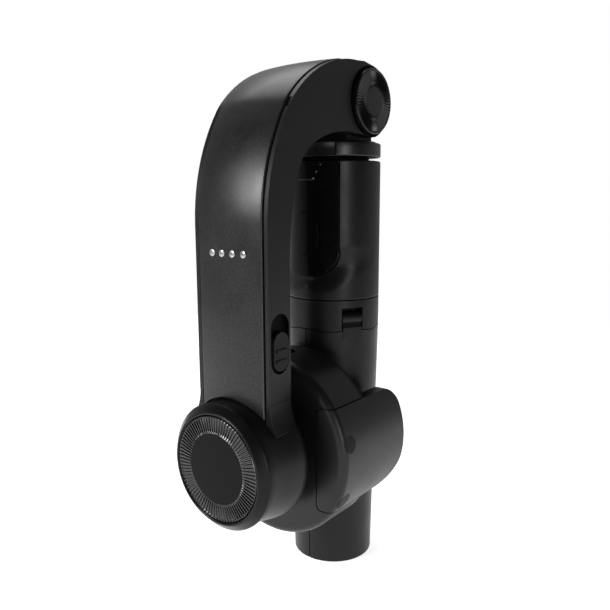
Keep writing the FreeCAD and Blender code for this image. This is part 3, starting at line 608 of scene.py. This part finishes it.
def make_handle_shell():
    """The handle's shell with its soft-edged scoop and the pocket for the remote."""
    heights = [SHELL_LOW, 101.35, 101.6]
    heights += [102 + 0.6 * k for k in range(34)]
    heights += [122.4 + 3.8 * k for k in range(7)]
    heights += [149.2, 149.5, 149.7, SHELL_TOP]
    inset = {SHELL_LOW: 0.2, 101.35: 0.05, 149.5: 0.08, 149.7: 0.25, SHELL_TOP: 0.5}
    profile = [(SHELL_BORE, SHELL_LOW)]
    profile += [(HANDLE_RAD - inset.get(z, 0), z) for z in heights]
    profile += [(SHELL_LIP, SHELL_TOP), (SHELL_LIP, 147.8), (SHELL_BORE, 147.8), (SHELL_BORE, SHELL_LOW)]

    def dent(radius, along, angle):
        x, y = radius * math.cos(angle), radius * math.sin(angle)
        if radius < 10 or y > 0:
            return 0, 0
        return -scoop_depth(x, along), 0

    shell = lathe("grip_shell", "z", (0, 0), profile, 240, "shell_black", dent)
    # the pocket's walls take the painted shade finish, a dark line of painted shade round the remote
    pocket = prism("tool", "y", remote_outline(0.28), -30, -10.2, "painted_shade_black")
    carve(shell, [pocket])
    # the rounded edges of the handle's shell are in the painted highlight finish
    soften(shell, 0.25, 50, edge="painted_glint_edge")
    ready(shell, "handle", "shell_black", "handle_shell")


def make_remote():
    """The remote's glossy front and its pill-shaped key."""
    face = prism("remote_face", "y", remote_outline(0), -30, -11.6, "gloss_black")
    carve(face, [disc_tool("z", (0, 0), HANDLE_RAD, 100, REMOTE_TOP, 240)], "INTERSECT")
    hole = prism("tool", "y", key_outline(0.3), -30, -5)
    # the thin groove across the remote gets painted highlight walls, so it shows as a light line
    line = box_tool((-3.2, -18, 143.05), (4.2, -16.62, 143.4), "painted_glint_edge")
    carve(face, [hole, line])
    # the remote's rounded edges are in the painted highlight finish
    soften(face, 0.25, 38, edge="painted_glint_edge")
    ready(face, "remote", "gloss_black", "remote_front")

    key = prism("remote_key", "y", key_outline(0), -30, -13.4, "gloss_black")
    carve(key, [disc_tool("z", (0, 0), HANDLE_RAD + 0.2, 100, 150, 240)], "INTERSECT")
    # the key's rounded edges are in the painted highlight finish
    soften(key, 0.3, 38, edge="painted_glint_edge")
    ready(key, "remote_button", "gloss_black", "remote_button")


def make_puck():
    """The swivel puck: a low window in its front, a boss that shows in the gap below it, and a step at
    its top."""
    def window(radius, along, angle):
        off = abs(math.degrees(angle) - 270)
        inside = off < 38 and 151.4 < along < 155.7 and radius > 16
        return (-0.45 if inside else 0), 0

    puck = lathe("turn_puck", "z", (0, 0), [
        (5, 151.1), (5, 150.0), (12.8, 150.0), (12.8, 151.1), (16.4, 151.1), (16.8, 151.2),
        (17, 151.5), (17, 151.7), (17, 153.5), (17, 155.5), (16.9, 155.8), (16.5, 156), (15.6, 156.05),
        (15.3, 156.2), (15.3, 156.4), (15.1, 156.55), (5, 156.55), (5, 151.1)], 360, "puck_satin", window)
    ready(puck, "head", "shell_black", "swivel_puck")


# ---------------------------------------------------------------- lamps and painted glint dots
LAMP_AND_GLINT_SEGMENTS, LAMP_AND_GLINT_RISE = 24, 0.17
STATUS_RAD, STATUS_Z = 1.15, 120.4
# the tiny silver dots on the remote are painted highlights
REMOTE_GLINT_RAD, REMOTE_GLINT_OUT = 0.3, 16.97


def make_lamp_and_glint_row(name, body, radius, seats):
    """Small silver dots in one piece, for lamps and for painted highlights; a seat is the middle of a dot
    and the way it faces.
    """
    verts, faces = [], []
    rise = LAMP_AND_GLINT_RISE * radius
    up = Vector((0, 0, 1))
    for seat, facing in seats:
        seat, facing = Vector(seat), Vector(facing).normalized()
        across = facing.cross(up)
        start = len(verts)
        for size, out in ((radius, -rise), (radius, 0.6 * rise), (0.85 * radius, rise)):
            for k in range(LAMP_AND_GLINT_SEGMENTS):
                turn = 2 * math.pi * k / LAMP_AND_GLINT_SEGMENTS
                round_it = size * math.cos(turn) * across + size * math.sin(turn) * up
                verts.append(seat + round_it + out * facing)
        for ring in range(2):
            low, high = start + ring * LAMP_AND_GLINT_SEGMENTS, start + (ring + 1) * LAMP_AND_GLINT_SEGMENTS
            for k in range(LAMP_AND_GLINT_SEGMENTS):
                following = (k + 1) % LAMP_AND_GLINT_SEGMENTS
                faces.append((low + k, low + following, high + following, high + k))
        faces.append(list(range(start, start + LAMP_AND_GLINT_SEGMENTS)))
        faces.append(list(range(start + 2 * LAMP_AND_GLINT_SEGMENTS, start + 3 * LAMP_AND_GLINT_SEGMENTS)))
    dot_row = new_object(name, verts, faces, "cell_silver")
    ready(dot_row, body, "cell_silver")


def make_lamps_and_glints():
    """A row of silver status lamps on the cover, and a slanting row of three tiny silver dots on the
    remote that are painted highlights.
    """
    seats = []
    for x in (-6.6, -2.2, 2.2, 6.6):
        crown = COVER_CROWN * (1 - (x / COVER_HALF) ** 2)
        seats.append(((x, ARM_FRONT - crown, STATUS_Z), (0, -1, 0)))
    make_lamp_and_glint_row("status_lamps", "arm", STATUS_RAD, seats)

    # painted highlights: three tiny silver dots in a slanting row on the remote
    seats = []
    for degrees, z in ((11, 143.7), (15, 145.9), (20, 148.4)):
        turn = math.radians(degrees)
        out = Vector((math.sin(turn), -math.cos(turn), 0))
        seats.append((REMOTE_GLINT_OUT * out + Vector((0, 0, z)), out))
    make_lamp_and_glint_row("remote_painted_glints", "remote", REMOTE_GLINT_RAD, seats)


# ---------------------------------------------------------------- studio and camera
CAMERA_AT = (143.25, -198.82, 138.43)
CAMERA_YAW, CAMERA_PITCH, CAMERA_ROLL = 38.28, -9.65, -0.24
CAMERA_LENS, CAMERA_SENSOR = 38.64, 36
DARK_SIDE = (0.45, -0.6, 0.65)
ROOM_LEVEL, DARK_LEVEL = 0.38, 0.02
FLOOR_RAD, FLOOR_DROP, FLOOR_GLOW = 520, 0.4, 0.82


def make_camera():
    """The camera, in front of the part and to its right, looking slightly down."""
    data = bpy.data.cameras.new("camera")
    data.lens = CAMERA_LENS
    data.sensor_width = CAMERA_SENSOR
    data.clip_start = 0.01
    data.clip_end = 20
    camera = bpy.data.objects.new("camera", data)
    COLLECTION.objects.link(camera)
    turn = (Matrix.Rotation(math.radians(CAMERA_YAW), 4, "Z")
            @ Matrix.Rotation(math.radians(90 + CAMERA_PITCH), 4, "X")
            @ Matrix.Rotation(math.radians(CAMERA_ROLL), 4, "Z"))
    camera.matrix_world = Matrix.Translation(Vector(CAMERA_AT) * MM) @ turn
    bpy.context.scene.camera = camera


def area_light(name, at, aim, size, power, tall=None):
    """A rectangular soft light that looks at a point."""
    data = bpy.data.lights.new(name, "AREA")
    data.energy = power
    data.shape = "RECTANGLE"
    data.size = size * MM
    data.size_y = (tall or size) * MM
    light = bpy.data.objects.new(name, data)
    COLLECTION.objects.link(light)
    light.location = Vector(at) * MM
    light.rotation_mode = "QUATERNION"
    light.rotation_quaternion = (Vector(aim) - Vector(at)).to_track_quat("-Z", "Y")


def make_world():
    """White to the camera; to everything else an even room with one dark corner."""
    world = bpy.data.worlds.new("studio")
    world.use_nodes = True
    tree = world.node_tree
    tree.nodes.clear()
    out = node(tree, "ShaderNodeOutputWorld")
    seen = node(tree, "ShaderNodeBackground", {"Color": grey(1.0), "Strength": 1.0})
    room = node(tree, "ShaderNodeBackground", {"Color": grey(1.0)})
    pick = node(tree, "ShaderNodeMixShader")
    rays = node(tree, "ShaderNodeLightPath")
    way = node(tree, "ShaderNodeTexCoord")
    toward = node(tree, "ShaderNodeVectorMath", {1: Vector(DARK_SIDE).normalized()},
                  operation="DOT_PRODUCT")
    level = node(tree, "ShaderNodeMapRange",
                 {"From Min": -0.25, "From Max": 0.5, "To Min": ROOM_LEVEL, "To Max": DARK_LEVEL},
                 interpolation_type="SMOOTHSTEP")
    tree.links.new(way.outputs["Generated"], toward.inputs[0])
    tree.links.new(toward.outputs["Value"], level.inputs["Value"])
    tree.links.new(level.outputs["Result"], room.inputs["Strength"])
    tree.links.new(rays.outputs["Is Camera Ray"], pick.inputs["Fac"])
    tree.links.new(room.outputs["Background"], pick.inputs[1])
    tree.links.new(seen.outputs["Background"], pick.inputs[2])
    tree.links.new(pick.outputs["Shader"], out.inputs["Surface"])
    bpy.context.scene.world = world


def make_studio():
    """A pale disc of floor that gives off some light of its own, the room and three soft boxes."""
    bpy.ops.mesh.primitive_circle_add(vertices=96, radius=FLOOR_RAD * MM, fill_type="NGON",
                                      location=(0, 0, -FLOOR_DROP * MM))
    floor = bpy.context.object
    floor.name = "floor"
    paper = bpy.data.materials.new("floor_paper")
    paper.use_nodes = True
    shader = paper.node_tree.nodes["Principled BSDF"]
    shader.inputs["Base Color"].default_value = grey(0.9)
    shader.inputs["Roughness"].default_value = 0.9
    shader.inputs["Specular IOR Level"].default_value = 0.1
    shader.inputs["Emission Color"].default_value = grey(1.0)
    shader.inputs["Emission Strength"].default_value = FLOOR_GLOW
    floor.data.materials.append(paper)
    make_world()
    area_light("key_box", (-360, -837, 400), (0, -54, 135), 280, 6.0)
    area_light("right_box", (760, -400, 180), (0, 0, 140), 160, 1.5, 300)
    area_light("back_box", (-470, 200, 1020), (0, -10, 150), 550, 3.0)
    bpy.context.scene.view_settings.view_transform = "Standard"


dress_cad()
make_cover()
make_arm_shells()
make_housing()
make_motor_cap()
make_hinge_caps()
make_handle_shell()
make_remote()
make_puck()
make_lamps_and_glints()
make_camera()
make_studio()
